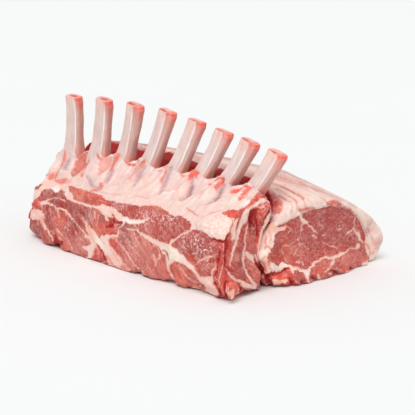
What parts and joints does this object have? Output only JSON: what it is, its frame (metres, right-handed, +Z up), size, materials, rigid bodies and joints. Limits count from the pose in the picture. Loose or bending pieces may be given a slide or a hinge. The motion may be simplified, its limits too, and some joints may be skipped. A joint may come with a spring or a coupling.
{
  "type": "rack of lamb",
  "caption": "Raw frenched rack of lamb: trimmed ribs standing in their meat, with the marbled loin eye and its fat cap behind.",
  "frame": {"origin": "on the flat underside of the loin, below the middle of the rack", "axes": "+X along the rack to the carved end that shows the loin eye, +Y from the ribs to the fat cap, +Z up, as it rests on a table"},
  "size_m": [0.2301, 0.1537, 0.1066],
  "materials": {
    "lean": "moist raw lamb, fine grained, with pale seams of fat",
    "fat": "soft creamy fat, slightly moist, with long shallow folds",
    "bone": "scraped bone, smooth and moist, pink at the cut ends"
  },
  "bodies": {
    "root": {"rack_meat": "lean", "loin_eye": "lean", "fat_cap": "fat", "rib_1": "bone", "rib_2": "bone", "rib_3": "bone", "rib_4": "bone", "rib_5": "bone", "rib_6": "bone", "rib_7": "bone", "rib_8": "bone"}
  },
  "joints": []
}
